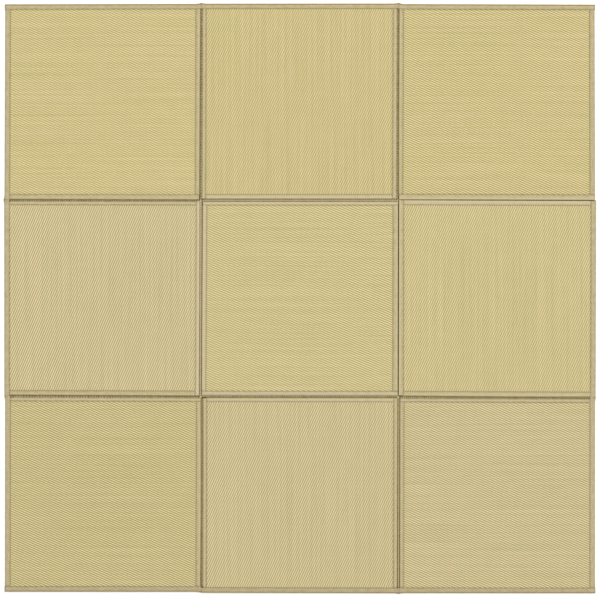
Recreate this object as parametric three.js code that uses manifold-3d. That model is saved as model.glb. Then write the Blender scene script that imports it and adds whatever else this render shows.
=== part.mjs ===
// A foldable tatami mat, open and flat: nine square panels of woven rush, three by three, bound in cloth tape.
// Ten seams between the panels are sewn, and two at the right are open: they part the end panel of the middle
// row from the panel above it and from the middle panel.
// Millimetres, +Z up, +X to the right edge, +Y to the top edge. The mat rests on its underside at z = 0.
import * as THREE from "three";
import { mergeVertices } from "three/addons/utils/BufferGeometryUtils.js";
import Module from "manifold-3d";

// Driving dimensions
const THICKNESS = 10; // of a panel, with its tape
const CLOTH = 1.2; // the tape's cloth, folded double
const CLEARANCE = 0.3; // between two pieces
const RIM_TAPE_WIDTH = 16; // tape at the mat's rim, from the outermost line to its inner edge
const SEAM_TAPE_WIDTHS = { left: 15, top: 15, right: 16.5, foot: 16.5 }; // at a seam, by the panel's side
const LIP_LENGTH = 3.8; // the flat lip of tape at a sewn seam, where the joining stitches lie
const LIP_THICKNESS = 3;
const OPEN_GAP = 0.8; // between the round edges at an open seam
const HINGE_PUCKER = 14; // length of rim tape that swells on each side of a sewn seam
const SWELL_SHARES = [0.25, 0.5, 0.75]; // where along the swollen tape its points lie
const CURVE_STEPS = 4; // a round edge has twice this many facets

const MIDDLE = THICKNESS / 2; // height of the outermost line of an edge
const ROUND = THICKNESS / 2; // radius of a bound edge
const REACH = 2000; // further than the mat is wide, for shapes that run right across it
const OVERRUN = 30; // how far a cutting shape runs past a corner
const OPEN_PAST = 1; // how far the hollow in a tape runs past the tape's inner edge
const SAME_POINT = 1e-4; // points nearer than this are one

// Where the upright lines lie in each row of panels: x of the mat's left edge, of the two seams and of its
// right edge, at the top and at the foot of the row.
const ROWS = [
  { left: [-899.9, -902.4], seamA: [-301.3, -303.6], seamB: [300.3, 297.9], right: [898.7, 900.2] },
  { left: [-903.1, -902.7], seamA: [-299.9, -303.1], seamB: [300.4, 299.3], right: [903.5, 901.9] },
  { left: [-900.3, -900.9], seamA: [-299.6, -301.3], seamB: [302.0, 300.5], right: [900.1, 899.8] },
];

// Where the level lines lie in each column of panels: y of the mat's top edge, of the two seams and of its
// foot, at the left and at the right of the column.
const COLUMNS = [
  { top: [897.3, 898.6], seamA: [300.3, 299.3], seamB: [-298.3, -300.0], foot: [-895.5, -895.9] },
  { top: [899.3, 899.8], seamA: [299.3, 299.3], seamB: [-300.0, -301.0], foot: [-898.9, -900.2] },
  { top: [898.2, 896.4], seamA: [300.5, 298.6], seamB: [-301.0, -303.4], foot: [-899.7, -900.1] },
];

// The panel's sides, anticlockwise from above. Each runs between two corners with the panel on its left.
const SIDES = ["left", "foot", "right", "top"];

// The sides at the open seams, by panel.
const OPEN_SIDES = { r1c3: ["foot"], r2c3: ["top", "left"], r2c2: ["right"] };

// How far up a tape lies where two meet at a corner: the higher one runs over the lower one's end.
const LAPS = { levelRim: 5, aboveSlit: 4, uprightRim: 3, upper: 2, lower: 1 };
const ABOVE_SLIT = { panel: "r1c3", side: "foot" }; // the one seam tape that runs over a rim tape's end

// The rim tapes: the panels and the side that each runs along, and how far it swells out at each sewn seam.
const RIM_TAPES = [
  { name: "rim_tape_left", side: "left", panels: ["r1c1", "r2c1", "r3c1"], swells: [2.4, 1.0] },
  { name: "rim_tape_foot", side: "foot", panels: ["r3c1", "r3c2", "r3c3"], swells: [0.8, 1.8] },
  { name: "rim_tape_right_lower", side: "right", panels: ["r3c3", "r2c3"], swells: [1.0] },
  { name: "rim_tape_right_upper", side: "right", panels: ["r1c3"], swells: [] },
  { name: "rim_tape_top", side: "top", panels: ["r1c3", "r1c2", "r1c1"], swells: [2.4, 2.2] },
];

const RUSH = new THREE.MeshStandardMaterial({ color: 0xcebf8b, roughness: 0.75, metalness: 0 });
const TAPE = new THREE.MeshStandardMaterial({ color: 0xc2b48f, roughness: 0.9, metalness: 0 });

const wasm = await Module();
wasm.setup();

// A geometry as a solid that can be joined and cut.
function solidOf(geometry) {
  const bare = geometry.index ? geometry.toNonIndexed() : geometry.clone();
  bare.deleteAttribute("normal");
  bare.deleteAttribute("uv");
  const merged = mergeVertices(bare, SAME_POINT);
  const triVerts = new Uint32Array(merged.index.array);
  const vertProperties = merged.getAttribute("position").array;
  return new wasm.Manifold(new wasm.Mesh({ numProp: 3, vertProperties, triVerts }));
}

// A named mesh of a solid, about a point that its group is moved to.
function meshOf(name, solid, material, about) {
  const made = solid.getMesh();
  const geometry = new THREE.BufferGeometry();
  geometry.setAttribute("position", new THREE.BufferAttribute(new Float32Array(made.vertProperties), 3));
  geometry.setIndex([...made.triVerts]);
  geometry.translate(-about.x, -about.y, 0);
  const mesh = new THREE.Mesh(geometry.toNonIndexed(), material.clone());
  mesh.geometry.computeVertexNormals();
  mesh.name = name;
  return mesh;
}

// The line along a panel's side, moved in by a distance, as a point and a direction.
function sideLine(corners, index, distance) {
  const start = corners[index];
  const along = corners[(index + 1) % 4].clone().sub(start).normalize();
  const inward = new THREE.Vector2(-along.y, along.x);
  return { point: start.clone().addScaledVector(inward, distance), along, inward };
}

function crossing(lineA, lineB) {
  const between = lineB.point.clone().sub(lineA.point);
  const share = between.cross(lineB.along) / lineA.along.cross(lineB.along);
  return lineA.point.clone().addScaledVector(lineA.along, share);
}

// The four corners of a panel whose sides are moved in by a distance each.
function moveSidesIn(corners, distances) {
  return corners.map((_, index) => {
    const before = (index + 3) % 4;
    return crossing(sideLine(corners, before, distances[before]), sideLine(corners, index, distances[index]));
  });
}

// A section is drawn with its outermost line at x = 0, the panel to its right and the floor at y = 0.
// This one is half round, thinner all over by an inset, with its outermost line moved in by a setback.
function roundSection(reach, inset = 0, setback = 0) {
  const centre = setback + ROUND;
  const shape = new THREE.Shape();
  shape.moveTo(reach, inset);
  shape.lineTo(reach, THICKNESS - inset);
  shape.lineTo(centre, THICKNESS - inset);
  shape.absarc(centre, MIDDLE, ROUND - inset, Math.PI / 2, (Math.PI * 3) / 2, false);
  shape.closePath();
  return shape;
}

// This one is square, from one distance to another, and stands past the mat's two faces to cut right through.
function squareSection(from, to) {
  const shape = new THREE.Shape();
  shape.moveTo(from, -THICKNESS);
  shape.lineTo(to, -THICKNESS);
  shape.lineTo(to, THICKNESS * 2);
  shape.lineTo(from, THICKNESS * 2);
  shape.closePath();
  return shape;
}

// This one has a lip: the round edge starts behind a flat lip that reaches the seam's middle line.
function lippedSection(reach) {
  const centre = LIP_LENGTH + ROUND;
  const lipAngle = Math.asin(LIP_THICKNESS / 2 / ROUND);
  const lipEnd = CLEARANCE / 2;
  const shape = new THREE.Shape();
  shape.moveTo(reach, 0);
  shape.lineTo(reach, THICKNESS);
  shape.lineTo(centre, THICKNESS);
  shape.absarc(centre, MIDDLE, ROUND, Math.PI / 2, Math.PI - lipAngle, false);
  shape.lineTo(lipEnd, MIDDLE + LIP_THICKNESS / 2);
  shape.lineTo(lipEnd, MIDDLE - LIP_THICKNESS / 2);
  shape.absarc(centre, MIDDLE, ROUND, Math.PI + lipAngle, (Math.PI * 3) / 2, false);
  shape.closePath();
  return shape;
}

// A section carried along stations, each a point on the outermost line with the direction into the panel.
function carry(section, stations) {
  const steps = stations.length - 1;
  const options = { depth: steps, steps, bevelEnabled: false, curveSegments: CURVE_STEPS };
  const geometry = new THREE.ExtrudeGeometry(section, options);
  const position = geometry.getAttribute("position");
  for (let i = 0; i < position.count; i++) {
    const { point, inward } = stations[Math.round(position.getZ(i))];
    const depth = position.getX(i);
    const height = position.getY(i);
    position.setXYZ(i, point.x + inward.x * depth, point.y + inward.y * depth, height);
  }
  return solidOf(geometry);
}

// A section carried straight along one side of a panel and past both its corners.
function alongSide(panel, index, section) {
  const { along, inward } = sideLine(panel.corners, index, 0);
  const start = panel.corners[index].clone().addScaledVector(along, -OVERRUN);
  const end = panel.corners[(index + 1) % 4].clone().addScaledVector(along, OVERRUN);
  return carry(section, [start, end].map((point) => ({ point, inward })));
}

// A flat shape raised through the whole thickness.
function prism(corners) {
  const options = { depth: THICKNESS, bevelEnabled: false };
  return solidOf(new THREE.ExtrudeGeometry(new THREE.Shape(corners), options));
}

// How an edge is finished at each side of a panel: at the rim, at an open seam or at a sewn one.
function finishOf(name, row, column, side) {
  const atRim =
    (side === "left" && column === 0) ||
    (side === "right" && column === 2) ||
    (side === "top" && row === 0) ||
    (side === "foot" && row === 2);
  if (atRim) return "rim";
  return OPEN_SIDES[name]?.includes(side) ? "open" : "sewn";
}

// Panels whose rushes lie level have their level seam tapes on top, and the others their upright ones.
function lapOf(panel, side, finish) {
  const isLevelSide = side === "top" || side === "foot";
  if (finish === "rim") return isLevelSide ? LAPS.levelRim : LAPS.uprightRim;
  if (panel.name === ABOVE_SLIT.panel && side === ABOVE_SLIT.side) return LAPS.aboveSlit;
  return isLevelSide === panel.isLevel ? LAPS.upper : LAPS.lower;
}

function layOutPanel(row, column) {
  const name = `r${row + 1}c${column + 1}`;
  const [left, right] = Object.values(ROWS[row]).slice(column, column + 2);
  const [top, foot] = Object.values(COLUMNS[column]).slice(row, row + 2);
  const panel = { name, isLevel: (row + column) % 2 === 0 };
  const outline = [
    new THREE.Vector2(left[0], top[0]),
    new THREE.Vector2(left[1], foot[0]),
    new THREE.Vector2(right[1], foot[1]),
    new THREE.Vector2(right[0], top[1]),
  ];
  panel.finishes = SIDES.map((side) => finishOf(name, row, column, side));
  const gaps = panel.finishes.map((finish) => (finish === "open" ? OPEN_GAP / 2 : 0));
  panel.corners = moveSidesIn(outline, gaps);
  panel.laps = SIDES.map((side, i) => lapOf(panel, side, panel.finishes[i]));
  panel.widths = SIDES.map((side, i) => {
    return panel.finishes[i] === "rim" ? RIM_TAPE_WIDTH : SEAM_TAPE_WIDTHS[side];
  });
  panel.centre = outline.reduce((sum, corner) => sum.add(corner), new THREE.Vector2()).divideScalar(4);
  return panel;
}

// A body with a section along each side of a panel, by how that side is finished.
function bodyOf(panel, sections) {
  const sides = panel.finishes.map((finish, index) => alongSide(panel, index, sections[finish]));
  return sides.reduce((whole, side) => whole.intersect(side));
}

// The outside of a panel's tapes, all four at once.
function outside(panel) {
  const round = roundSection(REACH);
  return bodyOf(panel, { rim: round, open: round, sewn: lippedSection(REACH) });
}

// The rush inside the tapes, which is thinner all over by an inset.
function rushRim(panel, inset) {
  const round = roundSection(REACH, inset);
  return bodyOf(panel, { rim: round, open: round, sewn: roundSection(REACH, inset, LIP_LENGTH) });
}

function weave(panel) {
  const face = prism(moveSidesIn(panel.corners, panel.widths.map((width) => width + CLEARANCE)));
  return rushRim(panel, CLOTH + CLEARANCE).add(face);
}

// The strip of a panel that one tape covers: it ends at the inner edge of a seam tape that lies over it, and
// runs on under a rim tape.
function stripUnder(panel, index) {
  const distances = SIDES.map(() => -OVERRUN);
  for (const end of [(index + 1) % 4, (index + 3) % 4]) {
    const isUnder = panel.laps[index] < panel.laps[end];
    if (isUnder && panel.finishes[end] !== "rim") distances[end] = panel.widths[end] + CLEARANCE;
  }
  const lines = SIDES.map((_, i) => sideLine(panel.corners, i, distances[i]));
  lines[(index + 2) % 4] = sideLine(panel.corners, index, panel.widths[index]);
  return prism(SIDES.map((_, i) => crossing(lines[(i + 3) % 4], lines[i])));
}

// A tape at a seam, cut off where a rim tape lies over its end.
function seamTape(panel, index, bound, core, rimZones) {
  const tape = bound.intersect(stripUnder(panel, index)).subtract(core);
  const zonesAbove = rimZones.filter(({ lap }) => lap > panel.laps[index]);
  return zonesAbove.reduce((left, { zone }) => left.subtract(zone), tape);
}

// The stations along the rim of a run of panels. They leave a panel's edge short of its corners at a sewn seam.
function rimStations(run, index, short) {
  const stations = [];
  run.forEach((panel, place) => {
    const { along, inward } = sideLine(panel.corners, index, 0);
    const isLast = place === run.length - 1;
    const start = panel.corners[index].clone().addScaledVector(along, place === 0 ? -OVERRUN : short);
    const end = panel.corners[(index + 1) % 4].clone().addScaledVector(along, isLast ? OVERRUN : -short);
    stations.push({ point: start, inward }, { point: end, inward });
  });
  return stations;
}

// The same, swelling out where the tape crosses each sewn seam.
function swollenStations(run, index, swells) {
  const stations = rimStations(run, index, HINGE_PUCKER);
  return stations.flatMap((station, i) => {
    const next = stations[i + 1];
    if (i % 2 === 0 || !next) return [station];
    const swollen = SWELL_SHARES.map((share) => {
      const out = swells[(i - 1) / 2] * Math.sin(share * Math.PI);
      const point = station.point.clone().lerp(next.point, share).addScaledVector(station.inward, -out);
      return { point, inward: station.inward };
    });
    return [station, ...swollen];
  });
}

// A rim tape: folded round the panels' edges, closed at its ends, with the panels' rims inside it.
function rimTape({ side, panels: names, swells }, panels) {
  const index = SIDES.indexOf(side);
  const run = names.map((name) => panels.get(name));
  const [first, last] = [run[0], run[run.length - 1]];
  const before = (index + 3) % 4;
  const after = (index + 1) % 4;
  let tape = carry(roundSection(RIM_TAPE_WIDTH), swollenStations(run, index, swells));
  let hollow = carry(roundSection(RIM_TAPE_WIDTH + OPEN_PAST, CLOTH), rimStations(run, index, LIP_LENGTH));
  for (const [panel, end] of [[first, before], [last, after]]) {
    const isOnTop = panel.laps[index] > panel.laps[end];
    const squareEnd = squareSection(panel.widths[end] + CLEARANCE, REACH);
    tape = tape.intersect(alongSide(panel, end, isOnTop ? roundSection(REACH) : squareEnd));
    if (isOnTop) hollow = hollow.intersect(alongSide(panel, end, roundSection(REACH, CLOTH)));
  }
  return tape.subtract(hollow);
}

// All that a rim tape covers, with clearance round it.
function rimZone({ side, panels: names, swells }, panels) {
  const run = names.map((name) => panels.get(name));
  const index = SIDES.indexOf(side);
  const section = squareSection(-THICKNESS, RIM_TAPE_WIDTH + CLEARANCE);
  const zone = carry(section, swollenStations(run, index, swells));
  return { lap: run[0].laps[index], names, zone };
}

// A panel's own group stands at the panel's middle.
function panelGroup(panel, rimZones) {
  const group = new THREE.Group();
  group.position.set(panel.centre.x, panel.centre.y, 0);
  group.add(meshOf(`panel_${panel.name}`, weave(panel), RUSH, panel.centre));
  const bound = outside(panel);
  const core = rushRim(panel, CLOTH);
  SIDES.forEach((side, index) => {
    if (panel.finishes[index] === "rim") return;
    const tape = seamTape(panel, index, bound, core, rimZones);
    group.add(meshOf(`tape_${panel.name}_${side}`, tape, TAPE, panel.centre));
  });
  return group;
}

const mat = new THREE.Group();
const panels = new Map();
for (const row of ROWS.keys()) {
  for (const column of COLUMNS.keys()) {
    const panel = layOutPanel(row, column);
    panels.set(panel.name, panel);
  }
}
const zones = RIM_TAPES.map((tape) => rimZone(tape, panels));
for (const panel of panels.values()) {
  const overPanel = zones.filter(({ names }) => names.includes(panel.name));
  mat.add(panelGroup(panel, overPanel));
}
for (const tape of RIM_TAPES) mat.add(meshOf(tape.name, rimTape(tape, panels), TAPE, new THREE.Vector2()));

// The mat's middle, seen from above, is the frame's origin.
const extent = new THREE.Box3().setFromObject(mat);
const middle = extent.getCenter(new THREE.Vector3());
mat.position.set(-middle.x, -middle.y, 0);

export default mat;
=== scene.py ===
"""A foldable tatami mat, open and flat: nine woven rush panels, three by three, bound in cloth tape.

Ten of the seams between the panels are sewn and lie in soft hollows, and two at the right are open slits.
Metres, +Z up, +X to the mat's right edge and +Y to its top edge. The mat rests on its underside at z = 0.
"""

import logging
import math
import random
from dataclasses import dataclass, field
from enum import Enum

import bmesh
import bpy
from mathutils import Matrix, Vector, noise


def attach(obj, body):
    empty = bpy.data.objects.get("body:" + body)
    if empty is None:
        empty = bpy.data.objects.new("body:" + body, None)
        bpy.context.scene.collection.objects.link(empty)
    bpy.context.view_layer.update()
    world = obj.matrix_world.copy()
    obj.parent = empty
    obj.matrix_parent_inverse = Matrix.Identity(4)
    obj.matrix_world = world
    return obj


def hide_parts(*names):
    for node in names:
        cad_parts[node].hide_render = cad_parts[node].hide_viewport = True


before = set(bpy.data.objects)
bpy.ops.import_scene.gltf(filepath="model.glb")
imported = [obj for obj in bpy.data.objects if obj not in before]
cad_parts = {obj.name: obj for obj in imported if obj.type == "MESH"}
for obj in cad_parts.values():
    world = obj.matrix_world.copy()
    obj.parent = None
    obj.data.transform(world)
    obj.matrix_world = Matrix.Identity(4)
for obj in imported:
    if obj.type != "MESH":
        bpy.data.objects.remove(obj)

LOG = logging.getLogger("tatami_mat")
MM = 0.001
TOUCH = 0.001 * MM  # what is nearer than this touches

# Sizes that the mat's solids have too
THICKNESS = 10 * MM
MIDDLE = THICKNESS / 2
ROUND = 5 * MM  # radius of a bound edge
CLEARANCE = 0.3 * MM
LIP_FOOT = 4.03 * MM  # where a sewn edge's round shoulder meets its lip, from the seam's middle line
LIP_CENTRE = 8.8 * MM  # middle of that shoulder's arc
LIP_HEIGHT = 6.5 * MM  # top of the lip at the shoulder's foot
LIP_SHARE = (LIP_CENTRE - LIP_FOOT) / ROUND

# The straight stitches along each tape's inner edge
STITCH_PITCH = 8 * MM
STITCH_INSET = 0.8 * MM  # from that edge

BANDS_TO_METRE = 0.314  # about the wave texture's scale for one band to a metre


class Side(Enum):
    """A side of a panel: the axis it runs along, the axis across it and which way the panel lies."""

    LEFT = ("left", 1, 0, 1)
    FOOT = ("foot", 0, 1, 1)
    RIGHT = ("right", 1, 0, -1)
    TOP = ("top", 0, 1, -1)

    def __init__(self, word: str, along: int, across: int, inward: int) -> None:
        """Keeps the four facts of the side.

        Args:
            word: Its name in the pieces' names.
            along: Index of the axis that it runs along.
            across: Index of the other one.
            inward: 1 or -1, for the way from it into the panel.
        """
        self.word = word
        self.along = along
        self.across = across
        self.inward = inward

    @property
    def ends(self) -> tuple["Side", "Side"]:
        """Gives the two sides that it meets, the one at its start first: the left or the foot."""
        return (Side.FOOT, Side.TOP) if self.along == 1 else (Side.LEFT, Side.RIGHT)


class Finish(Enum):
    """How a bound edge ends."""

    RIM = "rim"
    OPEN = "open"
    SEWN = "sewn"


class Lay(Enum):
    """Which way a panel's rushes run."""

    LEVEL = "level"
    UPRIGHT = "upright"


class Straw(Enum):
    """How a panel's rush has aged: its colours where it is ripe and where it is still green."""

    GOLDEN = ("#d8c793", "#c8bd80")
    STRAW = ("#d6c695", "#c6bc85")
    PALE = ("#d6c69b", "#c6bc8c")


def srgb(code: str) -> tuple[float, float, float, float]:
    """Turns an sRGB hex colour into the linear colour that a shader takes.

    Args:
        code: Six hex digits after a hash mark.

    Returns:
        Linear red, green, blue and an alpha of 1.
    """
    parts = [int(code[i : i + 2], 16) / 255 for i in (1, 3, 5)]
    linear = [c / 12.92 if c <= 0.04045 else ((c + 0.055) / 1.055) ** 2.4 for c in parts]
    return (*linear, 1.0)


def add_node(
    tree: bpy.types.NodeTree, kind: str, inputs: dict, output: int | str = 0, **settings
) -> bpy.types.NodeSocket:
    """Adds one node, with its settings, its values and the links into it.

    Args:
        tree: The material's node tree.
        kind: The node's type name, without the word ShaderNode that they all begin with.
        inputs: A value, or the socket that feeds it, for each named or numbered input.
        output: The name or number of the output that is used.
        **settings: Properties of the node.

    Returns:
        That output of the new node.
    """
    node = tree.nodes.new("ShaderNode" + kind)
    for name, value in settings.items():
        setattr(node, name, value)
    for key, value in inputs.items():
        if isinstance(value, bpy.types.NodeSocket):
            tree.links.new(value, node.inputs[key])
        else:
            node.inputs[key].default_value = value
    return node.outputs[output]


def start_material(name: str, roughness: float, gloss: float = 0.5) -> bpy.types.Material:
    """Starts the material of a surface that is not metal.

    Args:
        name: The material's name.
        roughness: Of its surface.
        gloss: Strength of its plain reflection, 0.5 for a typical smooth solid.

    Returns:
        The material, with its shader.
    """
    material = bpy.data.materials.new(name)
    material.use_nodes = True
    inputs = material.node_tree.nodes["Principled BSDF"].inputs
    inputs["Roughness"].default_value = roughness
    inputs["Specular IOR Level"].default_value = gloss
    return material


def dress(material: bpy.types.Material, colour: bpy.types.NodeSocket, bump: bpy.types.NodeSocket) -> None:
    """Gives a material's shader its colour and its relief.

    Args:
        material: The material, from start_material.
        colour: The output that holds its colour.
        bump: The output that holds its bent normals.
    """
    shader = material.node_tree.nodes["Principled BSDF"]
    material.node_tree.links.new(colour, shader.inputs["Base Color"])
    material.node_tree.links.new(bump, shader.inputs["Normal"])


def clamp(value: float) -> float:
    """Keeps a value from 0 to 1."""
    return min(1.0, max(0.0, value))


def bell(off: float, spread: float) -> float:
    """Gives 1 where an offset is 0, and less and less as it nears and passes the spread."""
    return math.exp(-((off / spread) ** 2))


def between(pair: tuple[float, float], share: float) -> float:
    """Gives the value a share of the way from the first of a pair to the second."""
    return pair[0] + (pair[1] - pair[0]) * share


def ripple(along: float, across: float, wavelength: float, seed: float) -> float:
    """Gives a smooth unevenness.

    Args:
        along: First coordinate.
        across: Second coordinate.
        wavelength: Typical size of one bump, in the coordinates' unit.
        seed: Picks one of many patterns.

    Returns:
        A value from about -1 to 1.
    """
    return noise.noise(Vector((along / wavelength, across / wavelength, seed)))


def new_object(name: str, mesh: bmesh.types.BMesh, material: bpy.types.Material) -> bpy.types.Object:
    """Makes an object of a finished mesh, at the origin.

    Args:
        name: The object's name.
        mesh: Its mesh, in the mat's frame. It is freed.
        material: Its finish.

    Returns:
        The new object.
    """
    data = bpy.data.meshes.new(name)
    mesh.to_mesh(data)
    mesh.free()
    data.materials.append(material)
    item = bpy.data.objects.new(name, data)
    bpy.context.scene.collection.objects.link(item)
    return item


def new_piece(
    name: str, mesh: bmesh.types.BMesh, material: bpy.types.Material
) -> bpy.types.Object:
    """Makes one piece of the mat, riding on its one body.

    Args:
        name: The piece's name.
        mesh: Its mesh, in the mat's frame. It is freed.
        material: Its finish.

    Returns:
        The new object.
    """
    piece = new_object(name, mesh, material)
    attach(piece, "root")
    LOG.info("%s: %d faces", name, len(piece.data.polygons))
    return piece


@dataclass(frozen=True)
class RushWeave:
    """Igusa rush, dried and woven in a twill over cotton warps: matte straw ribs with darker hollows."""

    name: str
    rib_along: float  # a rib's repeat along the rushes
    rib_across: float  # and across them
    depth: float  # how much darker the shade painted in a hollow is than a rib
    light: float  # how light the rush is beside the other panels
    straw: Straw
    seed: float
    tan: str = "#d8c192"
    # Colour of the shade painted in the weave's hollows and beside the tapes
    hollow: str = "#6c5f2e"
    rushes_to_rib: int = 4  # about 1.7 mm each
    streak: tuple[float, float] = (400 * MM, 3.2 * MM)  # length and breadth of a greener or browner stretch
    fleck: tuple[float, float] = (22 * MM, 2.6 * MM)  # and of a tan stretch on one float
    cloud: tuple[float, float] = (1 / 22, 1 / 22)  # and of a patch of wear, 45 mm
    pressed_shade: float = 0.42  # strength of the shade painted on the rush that the tape's stitches press down
    relief: float = 0.35 * MM

    def make(self) -> bpy.types.Material:
        """Builds the finish, on the piece's own map of the weave.

        Returns:
            The material.
        """
        # Dried rush is smooth but has no varnish, so its lights are broad and soft
        material = start_material(self.name, roughness=0.62, gloss=0.3)
        tree = material.node_tree
        place = add_node(tree, "UVMap", {}, uv_map="weave")
        along, across = add_node(tree, "SeparateXYZ", {0: place}).node.outputs[:2]

        # Which rush this is and how far along its float: each starts a quarter of a rib after the one below
        rush = self.rib_across / self.rushes_to_rib
        count = add_node(tree, "Math", {0: across, 1: rush}, operation="DIVIDE")
        row = add_node(tree, "Math", {0: count}, operation="FLOOR")
        turn = add_node(tree, "Math", {0: row, 1: 0.25, 2: 0.125}, operation="MULTIPLY_ADD")
        turn = add_node(tree, "Math", {0: along, 1: 1 / self.rib_along, 2: turn}, operation="MULTIPLY_ADD")
        angle = add_node(tree, "Math", {0: turn, 1: math.tau}, operation="MULTIPLY")
        wave = add_node(tree, "Math", {0: angle}, operation="COSINE")
        on_top = add_node(tree, "MapRange", {0: wave, 1: -0.75, 2: 0.75}, interpolation_type="SMOOTHSTEP")
        half_turn = add_node(tree, "Math", {0: count, 1: math.pi}, operation="MULTIPLY")
        bulge = add_node(tree, "Math", {0: half_turn}, operation="SINE")
        rounded = add_node(tree, "Math", {0: bulge}, operation="ABSOLUTE")

        # Streaks where one rush is greener than the next, tan flecks on single floats and clouds of wear
        patterns = []
        for shift, size, detail in (
            ((self.seed, self.seed, 0), self.streak, 1.5),
            ((3 * self.seed, 0, 0), self.fleck, 0.0),
            ((0, self.seed, 0), self.cloud, 3.0),
        ):
            scale = (1 / size[0], 1 / size[1], 1)
            spot = add_node(tree, "Mapping", {"Vector": place, "Location": shift, "Scale": scale})
            inputs = {"Vector": spot, "Scale": 1.0, "Detail": detail}
            patterns.append(add_node(tree, "TexNoise", inputs, noise_dimensions="2D"))
        streak, fleck, cloud = patterns
        hue = add_node(tree, "MapRange", {0: streak, 1: 0.3, 2: 0.7})
        ripe, green = self.straw.value
        colours = {"Factor": hue, 6: srgb(green), 7: srgb(ripe)}
        tone = add_node(tree, "Mix", colours, output=2, data_type="RGBA")
        flecked = add_node(tree, "MapRange", {0: fleck, 1: 0.58, 2: 0.78, 4: 0.85})
        colours = {"Factor": flecked, 6: tone, 7: srgb(self.tan)}
        tone = add_node(tree, "Mix", colours, output=2, data_type="RGBA")

        # Each rush has its own tone, and shade is painted at its sides, where it rounds down beside the next
        # rush. The deeper the hollows, the lighter the ribs
        single = add_node(tree, "TexWhiteNoise", {"W": row}, noise_dimensions="1D")
        shade = add_node(tree, "Math", {0: cloud, 1: 0.06, 2: 0.93}, operation="MULTIPLY_ADD")
        shade = add_node(tree, "Math", {0: single, 1: 0.08, 2: shade}, operation="MULTIPLY_ADD")
        rib_light = self.light * (1 + 0.45 * (self.depth - 0.6))
        shade = add_node(tree, "Math", {0: shade, 1: rib_light}, operation="MULTIPLY")
        painted_side_shade = add_node(tree, "Math", {0: rounded, 1: 0.24, 2: 0.85}, operation="MULTIPLY_ADD")
        shade = add_node(tree, "Math", {0: shade, 1: painted_side_shade}, operation="MULTIPLY")
        tone = add_node(tree, "VectorMath", {0: tone, 3: shade}, operation="SCALE")

        # Shade is painted where the rush dips under a warp, with the warp partly showing there, and where the
        # tape's stitches press it down
        sunk = add_node(tree, "Math", {0: 1.0, 1: on_top}, operation="SUBTRACT")
        pressed = add_node(tree, "Attribute", {}, output="Fac", attribute_name="pressed")
        for share, strength in ((sunk, self.depth), (pressed, self.pressed_shade)):
            dark = add_node(tree, "Math", {0: share, 1: strength}, operation="MULTIPLY")
            colours = {"Factor": dark, 6: tone, 7: srgb(self.hollow)}
            tone = add_node(tree, "Mix", colours, output=2, data_type="RGBA")
        height = add_node(tree, "Math", {0: rounded, 1: 0.5, 2: on_top}, operation="MULTIPLY_ADD")
        bump = add_node(tree, "Bump", {"Height": height, "Strength": 0.7, "Distance": self.relief})
        dress(material, tone, bump)
        return material


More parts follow.
